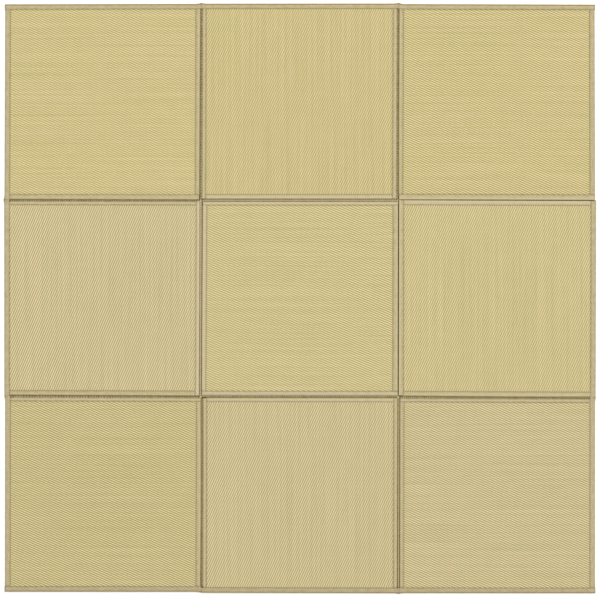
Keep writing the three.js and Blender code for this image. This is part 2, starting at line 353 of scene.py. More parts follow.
@dataclass(frozen=True)
class TapeCloth:
    """Plain-woven cotton tape, folded double: matte and a little greyer than the rush."""

    name: str = "woven_tape"
    cloth: str = "#b5a885"
    worn: str = "#a79a73"
    edge: str = "#8a7436"
    # Colour of the shade painted in the seams' hollows and slits, on the rims' turns, at fold marks and along
    # the stitched valleys
    hollow: str = "#4c3b0a"
    # Colour of the highlight painted on the folds and ridges beside the seams
    crest: str = "#c6b98c"
    faded: str = "#c4b99c"
    slub: tuple[float, float] = (2.4 * MM, 30 * MM)  # breadth and length of a thicker weft thread
    patch: tuple[float, float] = (18 * MM, 6 * MM)  # of a worn patch
    thread: float = 1.1 * MM  # spacing: the real 0.4 mm is too fine to show, so it is drawn coarser
    valley: tuple[float, float] = (2.2 * MM, 0.4 * MM)  # where the stitched hollow's shade starts and is full
    relief: float = 0.12 * MM

    def make(self) -> bpy.types.Material:
        """Builds the finish, on the piece's own map and its attributes, among them the painted shade in
        hollow and the painted highlight in crest.

        Returns:
            The material.
        """
        # Cotton scatters the light among its threads, so it shows hardly any shine
        material = start_material(self.name, roughness=0.85, gloss=0.2)
        tree = material.node_tree
        place = add_node(tree, "UVMap", {}, uv_map="tape")
        along, inset = add_node(tree, "SeparateXYZ", {0: place}).node.outputs[:2]

        # Faint bars across the tape, where weft threads are thicker, and soft patches of wear
        patterns = []
        for size, detail in ((self.slub, 1.0), (self.patch, 2.0)):
            spot = add_node(tree, "Mapping", {"Vector": place, "Scale": (1 / size[0], 1 / size[1], 1)})
            inputs = {"Vector": spot, "Scale": 1.0, "Detail": detail}
            patterns.append(add_node(tree, "TexNoise", inputs, noise_dimensions="2D"))
        bar, patch = patterns
        mixed = add_node(tree, "Math", {0: bar, 1: 0.5, 2: patch}, operation="MULTIPLY_ADD")
        share = add_node(tree, "MapRange", {0: mixed, 1: 0.55, 2: 0.95})
        colours = {"Factor": share, 6: srgb(self.worn), 7: srgb(self.cloth)}
        tone = add_node(tree, "Mix", colours, output=2, data_type="RGBA")

        # Some tapes have faded, a folded rim shows a golden line, and a highlight is painted on the folds
        # beside the seams
        for attribute, code in (("faded", self.faded), ("golden", self.edge), ("crest", self.crest)):
            share = add_node(tree, "Attribute", {}, output="Fac", attribute_name=attribute)
            colours = {"Factor": share, 6: tone, 7: srgb(code)}
            tone = add_node(tree, "Mix", colours, output=2, data_type="RGBA")

        # Shade is painted into the hollow of a seam, lighter where the joining stitches cross it and darker
        # between them
        count = add_node(tree, "Attribute", {}, output="Fac", attribute_name="stitch")
        turn = add_node(tree, "Math", {0: count, 1: math.tau}, operation="MULTIPLY")
        swing = add_node(tree, "Math", {0: turn}, operation="COSINE")
        beads = add_node(tree, "Attribute", {}, output="Fac", attribute_name="beads")
        step = add_node(tree, "Math", {0: count}, operation="ROUND")
        tight = add_node(tree, "TexWhiteNoise", {"W": step}, noise_dimensions="1D")
        gap = add_node(tree, "Math", {0: tight, 1: 0.35, 2: 0.64}, operation="MULTIPLY_ADD")
        gap = add_node(tree, "Math", {0: swing, 1: beads, 2: gap}, operation="MULTIPLY_ADD")
        painted_shade = add_node(tree, "Attribute", {}, output="Fac", attribute_name="hollow")
        painted_shade = add_node(tree, "Math", {0: painted_shade, 1: gap}, operation="MULTIPLY", use_clamp=True)

        # Shade painted along the stitched hollow at the tape's inner edge, darkest at a needle hole at each
        # end of a stitch
        off = add_node(tree, "Math", {0: inset, 1: STITCH_INSET}, operation="SUBTRACT")
        off = add_node(tree, "Math", {0: off}, operation="ABSOLUTE")
        line = add_node(tree, "MapRange", {0: off, 1: self.valley[0], 2: self.valley[1]})
        turn = add_node(tree, "Math", {0: along, 1: math.pi / STITCH_PITCH}, operation="MULTIPLY")
        swing = add_node(tree, "Math", {0: turn}, operation="COSINE")
        swing = add_node(tree, "Math", {0: swing}, operation="ABSOLUTE")
        hole = add_node(tree, "MapRange", {0: swing, 1: 0.55, 2: 1.0, 3: 0.1, 4: 1.0})
        pulled = add_node(tree, "Math", {0: line, 1: hole}, operation="MULTIPLY")
        dark = add_node(tree, "Math", {0: pulled, 1: 0.48}, operation="MULTIPLY")
        for share in (painted_shade, dark):
            colours = {"Factor": share, 6: tone, 7: srgb(self.hollow)}
            tone = add_node(tree, "Mix", colours, output=2, data_type="RGBA")

        # The relief of the plain weave, its slubs and the stitched hollow
        crossings = []
        for axis in (along, inset):
            turn = add_node(tree, "Math", {0: axis, 1: math.tau / self.thread}, operation="MULTIPLY")
            crossings.append(add_node(tree, "Math", {0: turn}, operation="SINE"))
        grain = add_node(tree, "Math", {0: crossings[0], 1: crossings[1]}, operation="MULTIPLY")
        height = add_node(tree, "Math", {0: bar, 1: 2.0, 2: grain}, operation="MULTIPLY_ADD")
        height = add_node(tree, "Math", {0: pulled, 1: -4.0, 2: height}, operation="MULTIPLY_ADD")
        bump = add_node(tree, "Bump", {"Height": height, "Strength": 0.6, "Distance": self.relief})
        dress(material, tone, bump)
        return material


@dataclass(frozen=True)
class SewingThread:
    """Twisted polyester thread: a little shinier than the cloth, with fine slanting bands."""

    name: str = "sewing_thread"
    light: str = "#d6c285"
    dark: str = "#a8955a"
    twist: float = 1.2 * MM  # the real 0.5 mm is too fine to show, so it is drawn coarser
    relief: float = 0.1 * MM

    def make(self) -> bpy.types.Material:
        """Builds the finish, with the twist as bands on object coordinates.

        Returns:
            The material.
        """
        material = start_material(self.name, roughness=0.6)
        tree = material.node_tree
        place = add_node(tree, "TexCoord", {}, output="Object")
        inputs = {"Vector": place, "Scale": BANDS_TO_METRE / self.twist, "Distortion": 1.0}
        band = add_node(tree, "TexWave", inputs, output="Fac", bands_direction="DIAGONAL")
        colours = {"Factor": band, 6: srgb(self.dark), 7: srgb(self.light)}
        tone = add_node(tree, "Mix", colours, output=2, data_type="RGBA")
        bump = add_node(tree, "Bump", {"Height": band, "Strength": 0.5, "Distance": self.relief})
        dress(material, tone, bump)
        return material


@dataclass(frozen=True)
class SeamHollow:
    """The hollow of a sewn seam. Its lines are offsets from the seam's middle line, to the right or the top.

    Each pair holds the offset at the seam's top or left end and at its foot or right end.
    """

    name: str
    crease: tuple[float, float]  # where the two tapes meet, deepest
    second: tuple[float, float] | None  # a shallower line beside it
    pitch: float  # between the joining stitches
    depth: float = 0.5  # how dark the crease is
    breadth: float = 1.5 * MM  # how far the shade reaches up the shoulder at the left or below
    unevenness: float = 0.4  # how far a stitch strays, in stitches
    wander: float = 3.6  # over how many of them

    def count(self, along: float) -> float:
        """Counts the joining stitches up to a place: they aren't quite even."""
        stray = ripple(along, 0, self.wander * self.pitch, self.crease[1] / MM)
        return along / self.pitch + self.unevenness * stray

    def place_of(self, count: float) -> float:
        """Finds the place that a count of stitches comes to.

        Args:
            count: Stitches from the origin.

        Returns:
            Its place along the seam.
        """
        along = count * self.pitch
        for _ in range(4):  # each step comes nearer, and four are enough
            along += (count - self.count(along)) * self.pitch
        return along


@dataclass(frozen=True)
class Hinge:
    """Where a rim tape crosses a seam and swells out."""

    along: float
    swell: float


# The sewn seams, by the two panels that each joins
SEAMS = {
    ("r1c1", "r1c2"): SeamHollow("r1_left", (-2.2 * MM, -3.4 * MM), None, 8.7 * MM),
    ("r1c2", "r1c3"): SeamHollow("r1_right", (0.8 * MM, 2.4 * MM), None, 7.6 * MM, 0.6, 0.8 * MM),
    ("r2c1", "r2c2"): SeamHollow("r2_left", (0.4 * MM, 2.2 * MM), (-5.6 * MM, -3.6 * MM), 7.3 * MM, 0.7),
    ("r3c1", "r3c2"): SeamHollow("r3_left", (0.0, -2.8 * MM), None, 7.2 * MM),
    ("r3c2", "r3c3"): SeamHollow("r3_right", (2.0 * MM, 3.0 * MM), (-3.0 * MM, -3.2 * MM), 6.6 * MM),
    ("r2c1", "r1c1"): SeamHollow("c1_upper", (2.0 * MM, 1.5 * MM), None, 6.6 * MM, 0.3),
    ("r2c2", "r1c2"): SeamHollow("c2_upper", (3.0 * MM, 3.0 * MM), (-3.0 * MM, -3.0 * MM), 6.1 * MM, 0.8),
    ("r3c1", "r2c1"): SeamHollow("c1_lower", (3.2 * MM, 2.0 * MM), None, 8.2 * MM, 1.0),
    ("r3c2", "r2c2"): SeamHollow("c2_lower", (-3.2 * MM, -2.8 * MM), None, 6.4 * MM, 0.9),
    ("r3c3", "r2c3"): SeamHollow("c3_lower", (3.0 * MM, 0.6 * MM), None, 6.1 * MM, 0.85, 2.5 * MM),
}

# The open slits, by the sides that face them, and how wide each is at its top or left end and at the other
SLITS = {
    ("r1c3", Side.FOOT): (0.1 * MM, 0.35 * MM),
    ("r2c3", Side.TOP): (0.1 * MM, 0.35 * MM),
    ("r2c3", Side.LEFT): (0.2 * MM, 0.2 * MM),
    ("r2c2", Side.RIGHT): (0.2 * MM, 0.2 * MM),
}
SOLID_SLIT = 0.8 * MM  # the slit between the mat's solids

# The tapes that have faded, and how much, by their nodes
FADED = {
    "tape_r2c1_right": 0.55,
    "tape_r2c2_left": 0.45,
    "tape_r1c2_foot": 0.4,
    "tape_r2c2_top": 0.4,
    "tape_r2c2_foot": 0.3,
    "tape_r3c2_top": 0.35,
    "tape_r2c3_top": 0.35,
    "tape_r2c3_foot": 0.2,
}

RIM_WIDTH = 16 * MM
SEAM_WIDTHS = {Side.LEFT: 15 * MM, Side.TOP: 15 * MM, Side.RIGHT: 16.5 * MM, Side.FOOT: 16.5 * MM}

# How far up a tape lies where two meet at a corner
LAP_LEVEL_RIM, LAP_ABOVE_SLIT, LAP_UPRIGHT_RIM, LAP_UPPER, LAP_LOWER = 5, 4, 3, 2, 1


@dataclass
class BoundEdge:
    """One edge of the mat in its tape: where its nominal line runs, and its section."""

    side: Side
    finish: Finish
    width: float
    knots: list[tuple[float, float]]  # along and across coordinates of the line, in rising order along
    hollow: SeamHollow | None = None
    on_plus_side: bool = False  # the panel lies to the right of its seam, or above it
    slit: tuple[float, float] | None = None
    hinges: list[Hinge] = field(default_factory=list)
    lap: int = LAP_LOWER
    seed: float = 0.0
    slit_width: float = 0.1 * MM  # between the two lips at a crease
    lip_drop: float = 1.9 * MM  # from the shoulder's foot to the crease
    lip_thickness: tuple[float, float] = (3.0 * MM, 2.0 * MM)  # at its foot and at its tip
    second_depth: float = 1.2 * MM
    second_spread: float = 1.1 * MM
    ridge_height: float = 2.8 * MM
    dusk: float = 22 * MM  # over which the shade in a hollow thins out, away from the crease
    hinge_reach: float = 14 * MM
    hinge_fold: float = 0.5 * MM  # depth of the fold mark across a rim tape
    hinge_fold_spread: float = 2.2 * MM
    valley_depth: float = 0.6 * MM  # of the hollow that the stitches pull along the tape's inner edge
    valley_spread: float = 1.7 * MM
    valley_unevenness: tuple[float, float] = (0.25, 11 * MM)  # share of its depth, and size of one bump
    slack: float = 0.08 * MM  # what is left between the tape and the solid's faces
    slack_unevenness: tuple[float, float] = (0.1 * MM, 17 * MM)  # height and size of one bump
    closed: float = 0.1 * MM  # a section thinner than this has no hollows
    steep: tuple[float, float] = (-0.4 * MM, 2 * MM)  # where a tip makes the shoulder steep, and over what
    steep_lip: float = 0.5 * MM  # length of the lip where the shoulder is steep
    steep_shoulder: float = 2.8 * MM  # and of the shoulder
    slit_highlight: tuple[float, float, float] = (0.9, 3 * MM, 2.2 * MM)  # painted highlight beside a slit, its place and spread
    shoulder_highlight: tuple[float, float] = (0.45, 2.4 * MM)  # painted highlight on a shoulder's fold, and its spread
    ridge_highlight: float = 0.7  # painted highlight on the ridge between the lines of a double hollow
    slit_full: float = 0.2 * MM  # a slit this wide is quite dark
    slit_reach: tuple[float, float] = (1.25 * MM, 0.75 * MM)  # of its shade, and above a level slit
    rim_turn: tuple[float, float, float] = (0.14, MM, 2.5 * MM)  # shade of an upright rim, place, spread
    rim_away: float = 0.06  # shade of the foot rim, which turns away from the light
    fold_dark: tuple[float, float, float] = (0.15, 0.45, 3 * MM)  # shade of a fold, more at the tip, reach
    lip_reach: tuple[float, float] = (2.6 * MM, 1.6 * MM)  # soft edge of a lip's shade, and on the plus side
    lip_dark: float = 0.64
    lip_long: float = 4 * MM  # a lip this long has the full breadth of shade
    ridge_lit: float = 0.75  # how much less shade there is on a ridge
    second_dark: float = 1.1
    crease_spread: float = 1.3 * MM

    def across_at(self, along: float) -> float:
        """Gives the line's across coordinate at an along coordinate.

        Args:
            along: Where along the edge.

        Returns:
            The across coordinate.
        """
        knots = self.knots
        place = next((i for i in range(1, len(knots) - 1) if along < knots[i][0]), len(knots) - 1)
        (a0, c0), (a1, c1) = knots[place - 1], knots[place]
        return c0 + (c1 - c0) * (along - a0) / (a1 - a0)

    def ease(self, depth: float, along: float) -> float:
        """Eases a rim's step at a seam: how far a point moves across, less and less towards the inner edge.

        Args:
            depth: Distance from the nominal line, into the panel.
            along: Where along the edge.

        Returns:
            The move across.
        """
        reach = self.hinge_reach
        for hinge in self.hinges:
            off = (along - hinge.along) / reach
            if abs(off) < 1:
                ends = (self.across_at(hinge.along - reach), self.across_at(hinge.along + reach))
                step = between(ends, 0.5 + 0.5 * off) - self.across_at(along)
                return step * max(0.0, 1 - depth / self.width)
        return 0.0

    def share_at(self, along: float) -> float:
        """Gives the share of the edge passed at an along coordinate, from its top or left end.

        Args:
            along: Where along the edge.

        Returns:
            The share, from 0 to 1.
        """
        start, stop = self.knots[0][0], self.knots[-1][0]
        share = (along - start) / (stop - start)
        return 1 - share if self.side.along == 1 else share

    def seam_line(self, pair: tuple[float, float], along: float) -> float:
        """Turns a seam's offset line into a distance into this panel."""
        offset = between(pair, self.share_at(along))
        return offset if self.on_plus_side else -offset

    def tip(self, along: float) -> float:
        """Gives how far the outermost line lies inside the nominal one.

        Args:
            along: Where along the edge.

        Returns:
            Its distance into the panel, negative where it stands out.
        """
        if self.finish is Finish.SEWN:
            return self.seam_line(self.hollow.crease, along) + self.slit_width / 2
        if self.finish is Finish.OPEN:
            return (between(self.slit, self.share_at(along)) - SOLID_SLIT) / 2
        out = 0.0
        for hinge in self.hinges:
            distance = abs(along - hinge.along)
            if distance < self.hinge_reach:
                out = hinge.swell * math.cos(math.pi / 2 * distance / self.hinge_reach) ** 2 * MM
        return -out

    def shoulder(self, along: float) -> tuple[float, float]:
        """Gives where a sewn edge's round shoulder starts and ends.

        Args:
            along: Where along the edge.

        Returns:
            The two distances into the panel. Both are short where the crease is near.
        """
        tip = self.tip(along)
        near = clamp((tip - self.steep[0]) / self.steep[1])
        foot = between((LIP_FOOT, tip + self.steep_lip), near)
        return foot, between((LIP_CENTRE, foot + self.steep_shoulder), near)

    def depth_for(self, mark: float, along: float) -> float:
        """Turns a section mark into a distance into the panel.

        Args:
            mark: From 0 at the tip to 1 where the flat face starts, or 1 and the distance past that.
            along: Where along the edge.

        Returns:
            The distance from the nominal line.
        """
        tip = self.tip(along)
        if self.finish is not Finish.SEWN:
            return tip + mark * ROUND if mark <= 1 else ROUND + mark - 1
        foot, centre = self.shoulder(along)
        if mark <= 0.5:
            return tip + (foot - tip) * mark * 2
        if mark <= 1:
            return foot + (centre - foot) * (mark * 2 - 1)
        return centre + mark - 1

    def bare_heights(self, depth: float, along: float) -> tuple[float, float]:
        """Gives the section's top and bottom, before the cloth settles.

        Args:
            depth: Distance from the nominal line, into the panel.
            along: Where along the edge.

        Returns:
            The heights of the section's upper and lower face.
        """
        tip = self.tip(along)
        if self.finish is not Finish.SEWN:
            rise = ROUND if depth - tip >= ROUND else math.sqrt(max(0, ROUND**2 - (ROUND + tip - depth) ** 2))
            return MIDDLE + rise, MIDDLE - rise
        foot, centre = self.shoulder(along)
        if depth >= foot:
            share = max(0.0, (centre - depth) / (centre - foot))
            rise = ROUND * math.sqrt(1 - (LIP_SHARE * share) ** 2)
            top, bottom = MIDDLE + rise, MIDDLE - rise
        else:
            share = (foot - depth) / max(foot - tip, 2 * self.closed)
            top = LIP_HEIGHT - self.lip_drop * share
            bottom = top - between(self.lip_thickness, share)
        dip, ridge = self.second_line(depth, along)
        top += self.ridge_height * ridge - self.second_depth * dip
        if depth <= tip + 0.1 * self.closed:
            top = bottom = (top + bottom) / 2
        return top, max(bottom, self.slack)

    def second_line(self, depth: float, along: float) -> tuple[float, float]:
        """Says how much a point lies in the hollow's second line, and how much on the ridge beside it.

        Args:
            depth: Distance from the nominal line, into the panel.
            along: Where along the edge.

        Returns:
            Both shares, from 0 to 1.
        """
        line = self.seam_line(self.hollow.second, along) if self.hollow and self.hollow.second else 0.0
        if line <= 0:
            return 0.0, 0.0
        tip = self.tip(along)
        off_ridge = abs(depth - (tip + line) / 2) / ((line - tip) / 2)
        return bell(depth - line, self.second_spread), max(0.0, 1 - off_ridge**2)

    def heights(self, depth: float, along: float) -> tuple[float, float]:
        """Gives the tape's top and bottom at a distance into the panel.

        Args:
            depth: From the nominal line.
            along: Where along the edge.

        Returns:
            The heights of its upper and its lower face.
        """
        top, bottom = self.bare_heights(depth, along)
        if top - bottom < self.closed:
            return top, bottom
        share, size = self.valley_unevenness
        pull = bell(self.width - depth, self.valley_spread) * (1 + share * ripple(along, 0, size, self.seed))
        rise, size = self.slack_unevenness
        sink = self.slack + self.valley_depth * pull + rise * (1 + ripple(along, depth, size, self.seed + 5))
        for hinge in self.hinges:
            sink += self.hinge_fold * bell(along - hinge.along, self.hinge_fold_spread)
        return max(top - sink, MIDDLE), min(bottom + sink, MIDDLE) if top > MIDDLE else bottom

    def crest(self, depth: float, along: float) -> float:
        """Gives the share of highlight painted at a point, from 0 to 1: on a fold beside a seam or slit, and
        on a ridge.

        Args:
            depth: Distance from the nominal line, into the panel.
            along: Where along the edge.

        Returns:
            The share.
        """
        if self.finish is Finish.RIM:
            return 0.0
        if self.finish is Finish.OPEN and self.side.inward == 1:
            light, place, spread = self.slit_highlight
            return light * bell(depth - place, spread)
        middle = self.shoulder(along)[1] if self.finish is Finish.SEWN else ROUND
        light, spread = self.shoulder_highlight
        ridge = self.second_line(depth, along)[1]
        return min(1.0, light * bell(depth - middle, spread) + self.ridge_highlight * ridge)

    def stitch_count(self, depth: float, along: float) -> float:
        """Counts the joining stitches up to a place, to tell where the hollow is dark and where it is lit.

        Args:
            depth: Distance from the nominal line, into the panel.
            along: Where along the edge.

        Returns:
            The count, which is a whole number in the middle of a dark gap.
        """
        if not self.hollow:
            return 0.0
        # A dark gap comes halfway between two strand ends, and on a second line at each end
        turn = 0.25 - 0.5 * self.second_line(depth, along)[0]
        return self.hollow.count(along) + (turn if self.on_plus_side else -turn)

    def shade(self, depth: float, along: float) -> float:
        """Gives the share of shade painted at a point, from 0 to 1: in a seam's hollow or slit, on a rim's
        turn and at a fold mark.

        Args:
            depth: Distance from the nominal line, into the panel.
            along: Where along the edge.

        Returns:
            The share.
        """
        tip = self.tip(along)
        if self.finish is Finish.OPEN:
            opened = min(1.0, between(self.slit, self.share_at(along)) / self.slit_full)
            return opened * bell(depth - tip, self.slit_reach[self.side is Side.FOOT])
        if self.finish is Finish.RIM:
            folds = (bell(along - hinge.along, self.hinge_fold_spread) for hinge in self.hinges)
            fold = max(folds, default=0.0)
            dark, place, spread = self.rim_turn
            turned = dark * bell(depth - place, spread) if self.side.along == 1 else 0.0
            away = self.rim_away if self.side is Side.FOOT else 0.0
            all_over, at_tip, reach = self.fold_dark
            return away + turned + fold * (all_over + at_tip * bell(depth, reach))
        foot = self.shoulder(along)[0]
        dip, ridge = self.second_line(depth, along)
        reach = self.lip_reach[self.on_plus_side]
        if not self.on_plus_side:
            foot += self.hollow.breadth * clamp((foot - tip) / self.lip_long)
        lip = clamp((foot + reach - depth) / (2 * reach)) * math.exp(min(0.0, (tip - depth) / self.dusk))
        shade = self.lip_dark * lip * (1 - self.ridge_lit * ridge) + self.second_dark * dip
        return min(1.0, shade + self.hollow.depth * bell(depth - tip, self.crease_spread))


@dataclass
class Panel:
    """One rush panel's plan: its face between the tapes, and its four bound edges."""

    row: int
    column: int
    name: str = ""
    face: list[Vector] = field(default_factory=list)  # corners, anticlockwise from the top left
    edges: dict[Side, BoundEdge] = field(default_factory=dict)

    @property
    def lay(self) -> Lay:
        """Says which way the rushes run: they change from panel to panel, as on a chessboard."""
        return Lay.LEVEL if (self.row + self.column) % 2 == 0 else Lay.UPRIGHT

    @property
    def centre(self) -> Vector:
        """Gives the face's middle."""
        return sum(self.face, Vector((0, 0))) / 4

    def finish_of(self, side: Side) -> Finish:
        """Says how the edge on one side is finished.

        Args:
            side: One of the four.

        Returns:
            Its finish.
        """
        outermost = {
            Side.LEFT: self.column == 0,
            Side.RIGHT: self.column == 2,
            Side.TOP: self.row == 0,
            Side.FOOT: self.row == 2,
        }
        if outermost[side]:
            return Finish.RIM
        return Finish.OPEN if (self.name, side) in SLITS else Finish.SEWN

    def lap_of(self, side: Side) -> int:
        """Says how far up the tape on one side lies.

        Args:
            side: One of the four.

        Returns:
            One of the lap levels.
        """
        is_level_side = side in (Side.TOP, Side.FOOT)
        if self.finish_of(side) is Finish.RIM:
            return LAP_LEVEL_RIM if is_level_side else LAP_UPRIGHT_RIM
        if (self.name, side) == ("r1c3", Side.FOOT):
            return LAP_ABOVE_SLIT
        return LAP_UPPER if is_level_side == (self.lay is Lay.LEVEL) else LAP_LOWER

    def neighbour(self, side: Side) -> str:
        """Names the panel across one side."""
        step = {Side.LEFT: (0, -1), Side.RIGHT: (0, 1), Side.TOP: (-1, 0), Side.FOOT: (1, 0)}[side]
        return f"r{self.row + 1 + step[0]}c{self.column + 1 + step[1]}"

    def read_face(self) -> None:
        """Takes the face's corners from the panel's solid."""
        self.name = f"r{self.row + 1}c{self.column + 1}"
        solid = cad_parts[f"panel_{self.name}"]
        verts = [vert.co for vert in solid.data.vertices if vert.co.z > THICKNESS - TOUCH]
        top = {tuple(round(c, 6) for c in place[:2]) for place in verts}
        middle = sum((Vector(p) for p in top), Vector((0, 0))) / len(top)
        order = [(-1, 1), (-1, -1), (1, -1), (1, 1)]
        self.face = [
            max((Vector(p) for p in top), key=lambda p: (p.x - middle.x) * sx + (p.y - middle.y) * sy)
            for sx, sy in order
        ]

    def lay_edges(self) -> None:
        """Makes the four bound edges, each outside the face by its tape's width."""
        lines = {}
        for index, side in enumerate(Side):
            corners = (self.face[index], self.face[(index + 1) % 4])
            width = RIM_WIDTH if self.finish_of(side) is Finish.RIM else SEAM_WIDTHS[side]
            out = -side.inward * (width + CLEARANCE)
            points = sorted((p[side.along], p[side.across] + out) for p in corners)
            lines[side] = (points, width)
        for side, (points, width) in lines.items():
            finish = self.finish_of(side)
            edge = BoundEdge(side, finish, width, self.run_out(points, side, lines), lap=self.lap_of(side))
            edge.seed = self.row * 31.7 + self.column * 13.1 + side.along * 5.3 + side.inward * 2.9
            if finish is Finish.SEWN:
                other = self.neighbour(side)
                edge.on_plus_side = (other, self.name) in SEAMS
                edge.hollow = SEAMS[(other, self.name) if edge.on_plus_side else (self.name, other)]
            if finish is Finish.OPEN:
                edge.slit = SLITS[(self.name, side)]
            self.edges[side] = edge

    @staticmethod
    def run_out(points: list[tuple[float, float]], side: Side, lines: dict) -> list[tuple[float, float]]:
        """Runs an edge's line out to the lines that it meets at the panel's corners.

        Args:
            points: Both ends of the edge's own line.
            side: Its side.
            lines: The line and the width of each of the four.

        Returns:
            The line from corner to corner.
        """
        (a0, c0), (a1, c1) = points
        slope = (c1 - c0) / (a1 - a0)
        knots = []
        for end, across in zip(side.ends, (c0, c1)):
            (b0, d0), (b1, d1) = lines[end][0]
            along = d0 + (d1 - d0) * (across - b0) / (b1 - b0)
            knots.append((along, c0 + slope * (along - a0)))
        return knots


@dataclass
class RushFace:
    """A panel of woven rush: ribbed above and below, and thin at its rim inside the tapes."""

    panel: Panel
    rib_along: float
    rib_across: float
    depth: float
    light: float
    straw: Straw
    crest: float = 9.85 * MM  # height of a rib
    flank: float = 9.55 * MM
    valley: float = 9.0 * MM
    tuck: float = 8.6 * MM  # height at which the rush goes under the tape
    sink: float = 0.45 * MM  # of the rush that the stitches pull down beside the tape
    wander: tuple[float, float] = (0.7 * MM, 170 * MM)  # how far the ribs stray from straight, and over what
    unevenness: tuple[float, float] = (0.25, 21 * MM)  # of their height, and size of one bump
    beyond: float = 8 * MM  # what the sheet has past the panel's corners before it is cut
    insets: tuple[float, ...] = (0.8 * MM, 3.6 * MM)  # of the lines along which the rush bends down
    rim_inset: float = 1.5 * MM  # of the rush's rim inside the tape
    rim_marks: tuple[float, ...] = (0.0, 0.7, 1.0)  # of its lines, from the tuck to the outermost

    def to_plan(self, u: float, v: float) -> tuple[float, float]:
        """Turns a place in the weave, along and across the rushes, into x and y.

        Args:
            u: Distance along the rushes from the panel's middle.
            v: And across them.

        Returns:
            The x and the y.
        """
        centre = self.panel.centre
        if self.panel.lay is Lay.LEVEL:
            return centre.x + u, centre.y + v
        return centre.x + v, centre.y - u

    def woven_sheet(self) -> bmesh.types.BMesh:
        """Makes the ribbed face: a grid whose rows follow the ribs, cut to the panel's face.

        Returns:
            The open mesh of the face.
        """
        diagonal = max((a - b).length for a in self.panel.face for b in self.panel.face)
        reach = 0.5 * diagonal / math.sqrt(2) + self.beyond
        columns = math.ceil(2 * reach / self.rib_along)
        turns = math.ceil(reach / self.rib_along + reach / self.rib_across)
        mesh = bmesh.new()
        layer = mesh.loops.layers.uv.new("weave")
        bmesh.ops.create_grid(mesh, x_segments=columns, y_segments=turns * 8, size=1)
        heights = (self.crest, self.flank, self.valley, self.flank)
        seed = self.panel.row * 7.3 + self.panel.column * 3.1
        for vert in mesh.verts:
            u = vert.co.x * reach
            quarter = round(vert.co.y * turns * 4)
            v = (quarter / 4 - u / self.rib_along) * self.rib_across
            for corner in vert.link_loops:
                corner[layer].uv = (u, v)
            stray = self.wander[0] * ripple(u, v, self.wander[1], seed)
            uneven = 1 + self.unevenness[0] * ripple(u, v, self.unevenness[1], seed + 2)
            height = self.flank + (heights[quarter % 4] - self.flank) * uneven
            vert.co = (*self.to_plan(u + stray, v + stray * 0.6), height)
        self.cut_to_face(mesh)
        return mesh

    def cut_to_face(self, mesh: bmesh.types.BMesh) -> None:
        """Cuts the sheet along the face's sides, and pulls it down beside them.

        Args:
            mesh: The mesh of the face.
        """
        corners = self.panel.face
        sides = [(corners[i], corners[(i + 1) % 4]) for i in range(4)]
        for start, end in sides:
            run = (end - start).normalized()
            inward = Vector((-run.y, run.x, 0))
            for inset in (0.0, *self.insets):
                place = Vector((*start, 0)) + inward * inset
                geometry = [*mesh.verts, *mesh.edges, *mesh.faces]
                cut = {"plane_co": place, "plane_no": inward, "dist": 0.1 * TOUCH, "clear_inner": not inset}
                bmesh.ops.bisect_plane(mesh, geom=geometry, **cut)
        # The pressed share also sets the shade painted on the rush beside the tapes
        pressed = mesh.verts.layers.float.new("pressed")
        for vert in mesh.verts:
            point = vert.co.to_2d()
            near = min((end - start).normalized().cross(point - start) for start, end in sides)
            vert[pressed] = max(0.0, 1 - near / self.insets[-1])
            vert.co.z = self.tuck if near < TOUCH else vert.co.z - self.sink * vert[pressed]

    def add_rim(self, mesh: bmesh.types.BMesh) -> None:
        """Adds the upper half of the rim that lies inside the tapes, round at its edge.

        Args:
            mesh: The mesh of the face.
        """
        corners = self.panel.face
        outline = [edge for edge in mesh.edges if edge.is_boundary]
        verts = {vert for edge in outline for vert in edge.verts}
        inner = [min(verts, key=lambda vert: (vert.co.to_2d() - corner).length) for corner in corners]
        radius = MIDDLE - self.rim_inset
        for out in self.rim_marks:
            height = MIDDLE + radius * math.sqrt(1 - out**2) if out else self.tuck
            outer = [mesh.verts.new((*corner, height)) for corner in self.rim_corners(ROUND - radius * out)]
            ring = [mesh.edges.new((outer[i - 1], outer[i])) for i in range(4)]
            spokes = [mesh.edges.new(pair) for pair in zip(inner, outer)]
            for i in range(4):
                run = (corners[i] - corners[i - 1]).normalized()
                side = [outline[i]]
                if not out:
                    side = [edge for edge in outline if self.lies_on(edge, corners[i], run)]
                bmesh.ops.contextual_create(mesh, geom=[*side, ring[i], spokes[i - 1], spokes[i]])
            outline, inner = ring, outer

    @staticmethod
    def lies_on(edge: bmesh.types.BMEdge, corner: Vector, run: Vector) -> bool:
        """Says whether an edge lies on the line through a corner."""
        return all(abs(run.cross(vert.co.to_2d() - corner)) < 0.01 * MM for vert in edge.verts)

    def rim_corners(self, inset: float) -> list[Vector]:
        """Gives the corners of the panel, moved in from its bound edges.

        Args:
            inset: How far.

        Returns:
            The corners, anticlockwise from the top left.
        """
        points = []
        for upright, level in (
            (Side.LEFT, Side.TOP),
            (Side.LEFT, Side.FOOT),
            (Side.RIGHT, Side.FOOT),
            (Side.RIGHT, Side.TOP),
        ):
            place = Vector((0, 0))
            for side, end in ((upright, level), (level, upright)):
                edge = self.panel.edges[side]
                lip = LIP_CENTRE - ROUND if edge.finish is Finish.SEWN else 0.0
                knot = edge.knots[side.ends.index(end)]
                place[side.across] = knot[1] + side.inward * (inset + lip)
            points.append(place)
        return points

